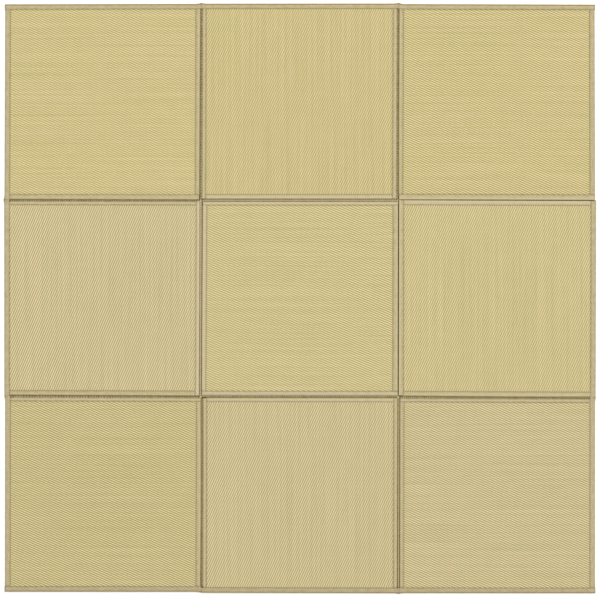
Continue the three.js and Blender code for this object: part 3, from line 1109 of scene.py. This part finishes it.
    def build(self) -> bpy.types.Object:
        """Builds the panel as one closed piece.

        Returns:
            The piece.
        """
        mesh = self.woven_sheet()
        for part in mesh.faces:
            part.smooth = True
        self.add_rim(mesh)
        copied = bmesh.ops.duplicate(mesh, geom=[*mesh.verts, *mesh.edges, *mesh.faces])["geom"]
        verts = [item for item in copied if isinstance(item, bmesh.types.BMVert)]
        faces = [item for item in copied if isinstance(item, bmesh.types.BMFace)]
        bmesh.ops.scale(mesh, vec=(1, 1, -1), verts=verts)
        bmesh.ops.translate(mesh, vec=(0, 0, THICKNESS), verts=verts)
        bmesh.ops.reverse_faces(mesh, faces=faces)
        ring = [vert for vert in mesh.verts if abs(vert.co.z - MIDDLE) < TOUCH]
        bmesh.ops.remove_doubles(mesh, verts=ring, dist=10 * TOUCH)
        bmesh.ops.recalc_face_normals(mesh, faces=mesh.faces)
        name = self.panel.name
        seed = self.panel.row * 3.7 + self.panel.column * 1.9
        ribs = (self.rib_along, self.rib_across, self.depth)
        weave = RushWeave(f"woven_rush_{name}", *ribs, self.light, self.straw, seed)
        piece = new_piece(f"rush_{name}", mesh, weave.make())
        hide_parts(f"panel_{name}")
        return piece


@dataclass
class BindingTape:
    """A cloth tape folded round one edge: a strip over the edge's section, closed where it laps."""

    name: str
    node: str
    rushes: list[str]  # the panels that it binds
    edge: BoundEdge
    low: BoundEdge  # the edge met at the tape's start, at the left or the foot
    high: BoundEdge  # and at its other end
    cloth: float = 0.9 * MM
    step: float = 8 * MM  # between two cross sections
    golden: float = 0.0  # strength of the golden line along the fold
    overrun: float = 0.0  # how far a lapping end stands out past the edge that it laps over
    top_marks: tuple[float, ...] = (0.0, 0.06, 0.2, 0.42, 0.7, 1.0)  # of the lines over a round edge
    # of the lines over a sewn lip and its shoulder
    lip_marks: tuple[float, ...] = (0.0, 0.03, 0.1, 0.18, 0.27, 0.38, 0.5, 0.6, 0.72, 0.86, 1.0)
    low_marks: tuple[float, ...] = (0.2, 0.55, 1.0)  # of the lines under an edge
    insets: tuple[float, ...] = (0.0, 0.5 * MM, 1.5 * MM, 3 * MM, 5 * MM)  # from the inner edge, on the top
    low_insets: tuple[float, ...] = (0.0, 1.5 * MM, 4 * MM)
    hinge_marks: tuple[float, ...] = (0.0, 1.3 * MM, 2.8 * MM, 5 * MM)  # of the sections beside a fold mark
    lap_reach: float = 14 * MM  # from an edge that it laps over: so near, it follows that edge's section
    overrun_dark: tuple[float, float] = (0.6, 2 * MM)  # shade of an end that stands out, and its reach
    beads: tuple[float, float] = (0.42, 0.8)  # strength of the painted shade in the gaps between joining stitches, on one crease and on two lines

    def laps_over(self, end: BoundEdge) -> bool:
        """Says whether this tape runs over the one it meets at an end."""
        return self.edge.lap > end.lap

    def rows(self) -> list[tuple[bool, bool, float]]:
        """Lists the strip's long lines, from its inner edge on top, over the edge, to the one below.

        Returns:
            For each line, whether it is on top, whether it is measured from the inner edge, and its measure.
        """
        marks = self.lip_marks if self.edge.finish is Finish.SEWN else self.top_marks
        top = [(True, True, inset) for inset in self.insets]
        top += [(True, False, mark) for mark in reversed(marks)]
        low = [(False, False, mark) for mark in self.low_marks] + [
            (False, True, inset) for inset in reversed(self.low_insets)
        ]
        return top + low

    def columns(self) -> list[tuple[str, float]]:
        """Lists the strip's cross sections, from its low end to its high end.

        Returns:
            For each cross section, what it is measured from, and its measure.
        """
        places = []
        spans = {}
        for key, end in (("low", self.low), ("high", self.high)):
            if self.laps_over(end):
                marks = self.lip_marks if end.finish is Finish.SEWN else self.top_marks
                spans[key] = LIP_CENTRE if end.finish is Finish.SEWN else ROUND
                places.append([(key, mark) for mark in marks])
            else:
                spans[key] = end.width + CLEARANCE
                places.append([(key + "_cut", spans[key])])
        start = self.edge.knots[0][0] + spans["low"]
        stop = self.edge.knots[-1][0] - spans["high"]
        count = max(2, round((stop - start) / self.step))
        inner = {round(start + (stop - start) * i / count, 6) for i in range(1, count)}
        for hinge in self.edge.hinges:
            for reach in self.hinge_marks:
                inner |= {round(hinge.along + reach, 6), round(hinge.along - reach, 6)}
        return [*places[0], *(("at", place) for place in sorted(inner)), *reversed(places[1])]

    def place(self, row: tuple[bool, bool, float], column: tuple[str, float]) -> tuple[Vector, float, float]:
        """Works out one point of the strip.

        Args:
            row: One of rows().
            column: One of columns().

        Returns:
            The point, its distance from the tape's inner edge and the share of shade painted there.
        """
        on_top, from_inner, measure = row
        kind, value = column
        edge = self.edge
        along = {"low": edge.knots[0][0], "high": edge.knots[-1][0]}.get(kind.split("_")[0], value)
        for _ in range(2):
            depth = edge.width - measure if from_inner else edge.depth_for(measure, along)
            across = edge.across_at(along) + edge.side.inward * depth
            if kind == "at":
                continue
            end = self.low if kind.startswith("low") else self.high
            reach = value
            if not kind.endswith("_cut"):
                reach = end.depth_for(value, across) - self.overrun * (1 - value)
            along = end.across_at(across) + end.side.inward * reach
        top, bottom = edge.heights(depth, along)
        shade = edge.shade(depth, along)
        across += edge.ease(depth, along)
        for end in (self.low, self.high):
            reach = (along - end.across_at(across)) * end.side.inward
            if self.laps_over(end) and reach < self.lap_reach:
                fitted = reach
                if self.overrun and reach < ROUND:
                    tip = end.tip(across)
                    fitted = tip + (reach - tip + self.overrun) * (ROUND - tip) / (ROUND - tip + self.overrun)
                end_top, end_bottom = end.bare_heights(fitted, across)
                top, bottom = min(top, end_top), max(bottom, end_bottom)
                shade = max(shade, end.shade(fitted, across))
                if self.overrun:
                    dark, spread = self.overrun_dark
                    shade = max(shade, dark * bell(reach + self.overrun, spread))
        if top < bottom:
            top = bottom = (top + bottom) / 2
        point = Vector((0, 0, top if on_top else bottom))
        point[edge.side.along], point[edge.side.across] = along, across
        return point, edge.width - depth, shade

    def build(self, material: bpy.types.Material) -> bpy.types.Object:
        """Builds the tape.

        Args:
            material: The tape's finish.

        Returns:
            The piece.
        """
        rows, columns = self.rows(), self.columns()
        mesh = bmesh.new()
        layer = mesh.loops.layers.uv.new("tape")
        marks = ("hollow", "golden", "crest", "stitch", "beads", "faded")
        hollow, golden, crest, stitch, beads, faded = (mesh.verts.layers.float.new(mark) for mark in marks)
        bmesh.ops.create_grid(mesh, x_segments=len(columns) - 1, y_segments=len(rows) - 1, size=1)
        edge, side = self.edge, self.edge.side.along
        is_double = edge.hollow is not None and edge.hollow.second is not None
        for vert in mesh.verts:
            column = columns[round((vert.co.x + 1) / 2 * (len(columns) - 1))]
            row = rows[round((vert.co.y + 1) / 2 * (len(rows) - 1))]
            # The hollow attribute holds the share of painted shade, and the crest attribute that of the
            # painted highlight
            vert.co, inset, vert[hollow] = self.place(row, column)
            vert[crest] = edge.crest(edge.width - inset, vert.co[side])
            vert[stitch] = edge.stitch_count(edge.width - inset, vert.co[side])
            vert[beads] = self.beads[is_double]
            vert[faded] = FADED.get(self.node, 0.0)
            if not row[1]:  # the line lies on the round edge, between the marks 0.1 and 1
                vert[golden] = self.golden * clamp((1 - row[2]) / 0.3) * clamp((row[2] - 0.1) / 0.2)
            for corner in vert.link_loops:
                corner[layer].uv = (vert.co[side], inset)
        probe = max(mesh.faces, key=lambda part: part.calc_center_median().z)
        probe.normal_update()
        if probe.normal.z < 0:
            bmesh.ops.reverse_faces(mesh, faces=mesh.faces)
        bmesh.ops.remove_doubles(mesh, verts=mesh.verts, dist=0.02 * MM)
        for part in mesh.faces:
            part.smooth = True
        piece = new_piece(self.name, mesh, material)
        solid = piece.modifiers.new("cloth", "SOLIDIFY")
        solid.thickness = self.cloth
        solid.offset = -1
        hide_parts(self.node)
        ends = [self.place(rows[0], column)[0][side] for column in (columns[0], columns[-1])]
        return piece


@dataclass
class Stitches:
    """Threads of one kind: each an arc of a thin tube, from one point on the cloth to another."""

    name: str
    radius: float
    sides: int
    bends: int
    end_share: float = 0.55  # thickness at an end, where the cloth grips it
    mesh: bmesh.types.BMesh = field(default_factory=bmesh.new)

    def add(self, start: Vector, end: Vector, rise: float) -> None:
        """Adds one stitch.

        Args:
            start: Where it leaves the cloth.
            end: Where it goes back in.
            rise: How far its middle stands over the line between them.
        """
        chord = end - start
        middle = (start + end) / 2
        run = chord.normalized()
        up = (Vector((0, 0, math.copysign(1, rise))) - run * run.z * math.copysign(1, rise)).normalized()
        beside = up.cross(run)
        turn = Matrix((run, beside, up)).transposed()
        rings = []
        for i in range(self.bends + 1):
            share = i / self.bends
            swell = math.sin(math.pi * share)
            centre = start + chord * share + up * abs(rise) * swell
            ring = []
            for k in range(self.sides):
                angle = math.tau * k / self.sides
                offset = turn @ Vector((0, math.cos(angle), math.sin(angle)))
                thickness = between((self.end_share, 1.0), swell)
                ring.append(self.mesh.verts.new(centre + offset * self.radius * thickness))
            rings.append(ring)
        for ring, after in zip(rings, rings[1:]):
            for k in range(self.sides):
                n = (k + 1) % self.sides
                self.mesh.faces.new((ring[k], ring[n], after[n], after[k])).smooth = True
        self.mesh.faces.new(list(reversed(rings[0])))
        self.mesh.faces.new(rings[-1])

    def build(self, material: bpy.types.Material) -> bpy.types.Object:
        """Turns the mesh's faces outward and makes the piece."""
        bmesh.ops.recalc_face_normals(self.mesh, faces=self.mesh.faces)
        return new_piece(self.name, self.mesh, material)


@dataclass
class Seam:
    """Two bound edges sewn together, with their joining stitches."""

    hollow: SeamHollow
    minus: BoundEdge  # the edge at the left of the seam, or below it
    plus: BoundEdge
    reach: float = 2.9 * MM  # of a joining stitch on each side of a single crease
    rise: float = 0.6 * MM  # of a strand over the cloth
    lowest: float = MM  # of a strand's end on the underside, to keep clear of the floor

    def surface(self, offset: float, along: float, is_top: bool) -> Vector:
        """Finds the cloth at an offset from the seam's middle line.

        Args:
            offset: To the right or upwards.
            along: Where along the seam.
            is_top: Whether the upper or the lower face is meant.

        Returns:
            The point.
        """
        crease = self.plus.seam_line(self.hollow.crease, along)
        edge, depth = (self.plus, offset) if offset > crease else (self.minus, -offset)
        top, bottom = edge.heights(depth, along)
        point = Vector((0, 0, top if is_top else bottom))
        point[edge.side.along] = along
        point[edge.side.across] = edge.across_at(along) + edge.side.inward * depth
        return point

    def zigzag(self, stitches: Stitches, index: int, is_top: bool) -> None:
        """Sews two strands over the hollow, from one hole at the left or below to two holes across it.

        Args:
            stitches: What the strands are added to.
            index: Which stitch of the seam this is.
            is_top: Whether it is sewn on the upper or the lower face.
        """
        line, reach = self.stitched_line()
        start_along = self.hollow.place_of(index + 0.75)
        start = self.surface(self.plus.seam_line(line, start_along) - reach, start_along, is_top)
        for step in (0.25, 1.25):
            along = self.hollow.place_of(index + step)
            end = self.surface(self.plus.seam_line(line, along) + reach, along, is_top)
            middle = (along + start_along) / 2
            ridge = self.surface(self.plus.seam_line(line, middle), middle, is_top).z - (start.z + end.z) / 2
            rise = max(ridge, 0.0) + self.rise
            if not is_top:
                start.z, end.z = max(start.z, self.lowest), max(end.z, self.lowest)
                rise = -min(self.rise, (start.z + end.z) / 2 - 0.85 * self.lowest)
            stitches.add(start, end, rise)

    def stitched_line(self) -> tuple[tuple[float, float], float]:
        """Gives the line that the joining stitches straddle, and their reach: both lines of a double hollow.

        Returns:
            The line's offsets at the seam's two ends, and the reach.
        """
        crease, second = self.hollow.crease, self.hollow.second
        if second is None:
            return crease, self.reach
        return ((crease[0] + second[0]) / 2, (crease[1] + second[1]) / 2), abs(crease[0] - second[0]) / 2


@dataclass
class Studio:
    """A plain pale floor under soft light, seen from straight above."""

    camera_height: float = 6.0  # over the mat
    view_width: float = 1.830  # of the mat's top plane that the frame takes in
    view_centre: tuple[float, float] = (0.35 * MM, -5.1 * MM)
    sensor: float = 36.0  # millimetres
    key_direction: float = math.radians(70)  # from the right edge's side towards the top's
    key_elevation: float = math.radians(69)  # over the floor
    key_distance: float = 12.0
    key_size: float = 4.5
    key_power: float = 800.0  # watts
    fill: float = 0.78  # strength of the even sky
    floor_colour: str = "#faf9f7"
    floor_reach: float = 30.0  # so far that its edge never shows
    floor_drop: float = 0.2 * MM

    def add_camera(self) -> None:
        """Sets the camera straight above the mat."""
        data = bpy.data.cameras.new("camera")
        data.sensor_width = self.sensor
        data.lens = self.sensor * self.camera_height / self.view_width
        camera = bpy.data.objects.new("camera", data)
        camera.location = (*self.view_centre, THICKNESS + self.camera_height)
        bpy.context.scene.collection.objects.link(camera)
        bpy.context.scene.camera = camera

    def add_light(self) -> None:
        """Sets one large soft light at the upper right, and an even sky."""
        data = bpy.data.lights.new("key", "AREA")
        data.shape = "DISK"
        data.size = self.key_size
        data.energy = self.key_power
        light = bpy.data.objects.new("key", data)
        level = math.cos(self.key_elevation)
        x, y = level * math.cos(self.key_direction), level * math.sin(self.key_direction)
        way = Vector((x, y, math.sin(self.key_elevation)))
        light.location = way * self.key_distance
        light.rotation_euler = way.to_track_quat("Z", "Y").to_euler()
        bpy.context.scene.collection.objects.link(light)
        world = bpy.data.worlds.new("studio")
        world.use_nodes = True
        background = world.node_tree.nodes["Background"]
        background.inputs["Color"].default_value = (1, 1, 1, 1)
        background.inputs["Strength"].default_value = self.fill
        bpy.context.scene.world = world
        bpy.context.scene.view_settings.view_transform = "Standard"

    def add_floor(self) -> None:
        """Lays the floor, a hair under the mat."""
        mesh = bmesh.new()
        bmesh.ops.create_grid(mesh, x_segments=1, y_segments=1, size=self.floor_reach)
        bmesh.ops.translate(mesh, vec=(0, 0, -self.floor_drop), verts=mesh.verts)
        material = start_material("matte_floor", roughness=0.9)
        shader = material.node_tree.nodes["Principled BSDF"]
        shader.inputs["Base Color"].default_value = srgb(self.floor_colour)
        new_object("floor", mesh, material)


# Each panel's rib repeat along and across its rushes, in millimetres, how dark the shade painted in its
# hollows is, how light it is beside the others, and how its rush has aged
WEAVES = {
    "r1c1": (15.65, 6.95, 0.59, 1.00, Straw.GOLDEN),
    "r1c2": (15.60, 6.98, 0.54, 0.97, Straw.GOLDEN),
    "r1c3": (15.73, 6.93, 0.68, 0.99, Straw.GOLDEN),
    "r2c1": (16.35, 6.92, 0.65, 1.01, Straw.PALE),
    "r2c2": (16.57, 7.00, 0.66, 1.02, Straw.STRAW),
    "r2c3": (16.14, 6.98, 0.57, 1.00, Straw.STRAW),
    "r3c1": (15.73, 6.92, 0.74, 0.98, Straw.STRAW),
    "r3c2": (15.81, 6.96, 0.63, 1.00, Straw.PALE),
    "r3c3": (15.66, 7.00, 0.70, 1.00, Straw.PALE),
}

# The rim tapes: side, panels in rising order along it, and how far each swells at its seams, in millimetres
RIM_TAPES = {
    "rim_tape_left": (Side.LEFT, ("r3c1", "r2c1", "r1c1"), (1.0, 2.4)),
    "rim_tape_foot": (Side.FOOT, ("r3c1", "r3c2", "r3c3"), (0.8, 1.8)),
    "rim_tape_right_lower": (Side.RIGHT, ("r3c3", "r2c3"), (1.0,)),
    "rim_tape_right_upper": (Side.RIGHT, ("r1c3",), ()),
    "rim_tape_top": (Side.TOP, ("r1c1", "r1c2", "r1c3"), (2.2, 2.4)),
}


@dataclass
class TatamiMat:
    """The whole mat: panels, tapes and stitches."""

    stitch_length: float = 5.4 * MM
    stitch_rise: float = 0.3 * MM
    seam_end: float = 6 * MM  # what a seam has at each end without joining stitches
    tie_turns: int = 7
    tie_reach: float = 4.2 * MM  # of a thread from its middle to its end
    tie_height: float = 5.6 * MM
    tie_rise: float = 0.5 * MM
    tie_offset: float = 0.4 * MM  # of a tie's middle from the nominal corner
    panels: dict[str, Panel] = field(default_factory=dict)

    def lay_out(self) -> None:
        """Reads each panel's place from the mat's solids."""
        for row in range(3):
            for column in range(3):
                panel = Panel(row, column)
                panel.read_face()
                panel.lay_edges()
                self.panels[panel.name] = panel

    def add_panels(self) -> None:
        """Builds the nine rush panels."""
        for name, panel in self.panels.items():
            along, across, depth, light, straw = WEAVES[name]
            piece = RushFace(panel, along * MM, across * MM, depth, light, straw).build()

    def add_tapes(self) -> None:
        """Builds the tapes at the seams and round the rim."""
        cloth = TapeCloth().make()
        for panel in self.panels.values():
            for side, edge in panel.edges.items():
                if edge.finish is Finish.RIM:
                    continue
                node = f"tape_{panel.name}_{side.word}"
                ends = [panel.edges[end] for end in side.ends]
                BindingTape(f"binding_{panel.name}_{side.word}", node, [panel.name], edge, *ends).build(cloth)
        for node, (side, names, swells) in RIM_TAPES.items():
            run = [self.panels[name] for name in names]
            knots = [knot for panel in run for knot in panel.edges[side].knots]
            edge = BoundEdge(side, Finish.RIM, RIM_WIDTH, knots, lap=run[0].edges[side].lap, seed=len(node))
            for swell, before, after in zip(swells, run, run[1:]):
                hinge = (before.edges[side].knots[-1][0] + after.edges[side].knots[0][0]) / 2
                edge.hinges.append(Hinge(hinge, swell))
            ends = (run[0].edges[side.ends[0]], run[-1].edges[side.ends[1]])
            tape = BindingTape(node.replace("tape", "binding"), node, list(names), edge, *ends)
            tape.golden = {Side.TOP: 1.0, Side.FOOT: 0.6}.get(side, 0.0)
            tape.overrun = 1.2 * MM if tape.golden else 0.0
            tape.build(cloth)

    def add_edge_stitches(self, thread: bpy.types.Material) -> None:
        """Sews the tapes down along their inner edges, above and below.

        Args:
            thread: The stitches' finish.
        """
        for panel in self.panels.values():
            stitches = Stitches(f"edge_stitches_{panel.name}", radius=0.45 * MM, sides=3, bends=2)
            for side, edge in panel.edges.items():
                depth = edge.width - STITCH_INSET
                low, high = (panel.edges[end] for end in side.ends)
                start, stop = edge.knots[0][0] + low.width, edge.knots[-1][0] - high.width
                for step in range(math.ceil(start / STITCH_PITCH), int(stop / STITCH_PITCH)):
                    middle = (step + 0.5) * STITCH_PITCH
                    top, bottom = edge.heights(depth, middle)
                    for height, rise in ((top, self.stitch_rise), (bottom, -self.stitch_rise)):
                        ends = []
                        for half in (-0.5, 0.5):
                            along = middle + half * self.stitch_length
                            point = Vector((0, 0, height - rise * 0.5))
                            point[side.along] = along
                            point[side.across] = edge.across_at(along) + side.inward * depth
                            ends.append(point)
                        stitches.add(*ends, rise)
            stitches.build(thread)

    def add_joining_stitches(self, thread: bpy.types.Material) -> None:
        """Sews the panels together across each crease.

        Args:
            thread: The stitches' finish.
        """
        for (minus, plus), hollow in SEAMS.items():
            side_of_plus = Side.LEFT if minus[1] == plus[1] else Side.FOOT
            side_of_minus = Side.RIGHT if side_of_plus is Side.LEFT else Side.TOP
            edges = (self.panels[minus].edges[side_of_minus], self.panels[plus].edges[side_of_plus])
            seam = Seam(hollow, *edges)
            stitches = Stitches(f"joining_stitches_{hollow.name}", radius=0.8 * MM, sides=4, bends=3)
            start, stop = seam.minus.knots[0][0] + self.seam_end, seam.minus.knots[-1][0] - self.seam_end
            for index in range(math.ceil(hollow.count(start)), int(hollow.count(stop)) - 1):
                for is_top in (True, False):
                    seam.zigzag(stitches, index, is_top)
            stitches.build(thread)

    def add_corner_ties(self, thread: bpy.types.Material) -> None:
        """Draws the corners of four panels together with a few turns of thread, above and below.

        Args:
            thread: The stitches' finish.
        """
        chance = random.Random(5)
        stitches = Stitches("corner_ties", radius=0.9 * MM, sides=5, bends=4)
        for name in ("r1c1", "r1c2", "r2c1", "r2c2"):
            panel = self.panels[name]
            right, foot = panel.edges[Side.RIGHT], panel.edges[Side.FOOT]
            middle = Vector((right.knots[0][1] + self.tie_offset, foot.knots[-1][1] - self.tie_offset))
            for turn in range(self.tie_turns):
                angle = math.pi * (turn + chance.uniform(-0.25, 0.25)) / self.tie_turns
                out = Vector((math.cos(angle), math.sin(angle))) * self.tie_reach * chance.uniform(0.7, 1.1)
                stray = Vector((chance.uniform(-1, 1), chance.uniform(-1, 1))) * MM
                above = (self.tie_height, self.tie_rise)
                below = (THICKNESS - self.tie_height, -self.tie_rise)
                for height, rise in (above, below):
                    ends = [Vector((*(middle + stray + way), height)) for way in (-out, out)]
                    stitches.add(*ends, rise)
        stitches.build(thread)


def main() -> None:
    """Builds the mat and its studio, and reports each piece."""
    logging.basicConfig(level=logging.INFO, format="%(name)s: %(message)s")
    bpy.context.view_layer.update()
    studio = Studio()
    studio.add_camera()
    studio.add_light()
    studio.add_floor()
    mat = TatamiMat()
    mat.lay_out()
    mat.add_panels()
    mat.add_tapes()
    thread = SewingThread().make()
    mat.add_edge_stitches(thread)
    mat.add_joining_stitches(thread)
    mat.add_corner_ties(thread)


if __name__ == "__main__":
    main()
